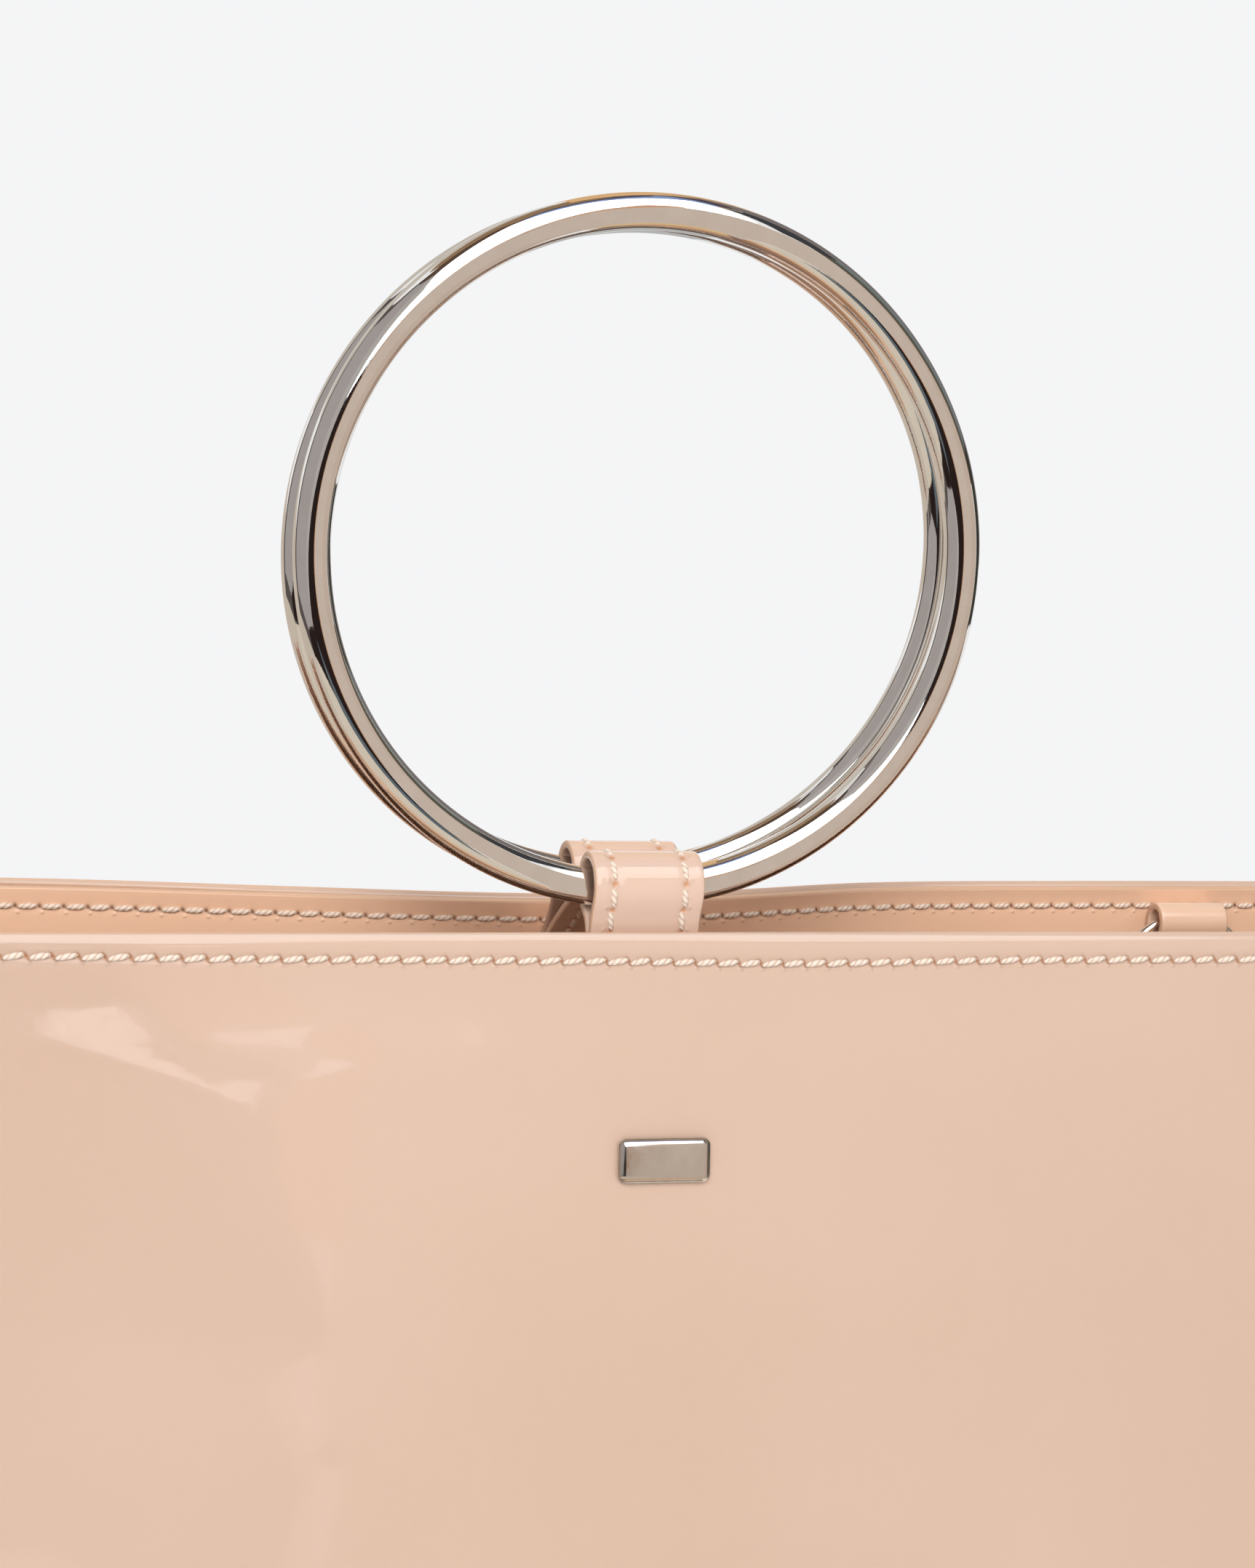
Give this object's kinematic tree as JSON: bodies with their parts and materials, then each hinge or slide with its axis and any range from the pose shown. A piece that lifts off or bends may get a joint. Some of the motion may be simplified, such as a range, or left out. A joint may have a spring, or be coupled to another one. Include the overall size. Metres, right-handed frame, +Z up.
{
  "type": "evening clutch",
  "caption": "Patent-leather evening clutch, a soft open-topped box with folded side gussets, carried by metal ring handles held upright in stitched leather tabs.",
  "frame": {"origin": "middle of the footprint, under the base", "axes": "+X to the right along the bag's width, -Y out of the front, +Z up"},
  "size_m": [0.264, 0.0607, 0.2623],
  "materials": {
    "patent_leather": "high gloss patent",
    "facing_leather": "gloss patent",
    "tab_leather": "high gloss patent with painted edges",
    "polished_metal": "polished"
  },
  "bodies": {
    "bag": {"front_panel": "patent_leather", "back_panel": "patent_leather", "left_gusset": "patent_leather", "right_gusset": "patent_leather", "base_panel": "patent_leather", "front_facing": "facing_leather", "back_facing": "facing_leather", "front_tab": "tab_leather", "back_tab": "tab_leather", "left_strap_tab": "tab_leather", "right_strap_tab": "tab_leather", "badge": "polished_metal"},
    "front_ring": {"front_ring": "polished_metal"},
    "back_ring": {"back_ring": "polished_metal"},
    "left_strap_ring": {"left_strap_ring": "polished_metal"},
    "right_strap_ring": {"right_strap_ring": "polished_metal"}
  },
  "joints": [
    {"name": "front_ring_swing", "type": "hinge", "parent": "bag", "child": "front_ring", "pos_m": [0, -0.01793, 0.1656], "axis": [1, 0, 0], "range_deg": [-0.1, 112]},
    {"name": "back_ring_swing", "type": "hinge", "parent": "bag", "child": "back_ring", "pos_m": [0, -0.00637, 0.1653], "axis": [1, 0, 0], "range_deg": [-95, 0.1]},
    {"name": "left_strap_ring_swing", "type": "hinge", "parent": "bag", "child": "left_strap_ring", "pos_m": [-0.1005, 0.01646, 0.154], "axis": [1, 0, 0], "range_deg": [-160, 0.5]},
    {"name": "right_strap_ring_swing", "type": "hinge", "parent": "bag", "child": "right_strap_ring", "pos_m": [0.1005, 0.01735, 0.154], "axis": [1, 0, 0], "range_deg": [-160, 0.5]}
  ]
}
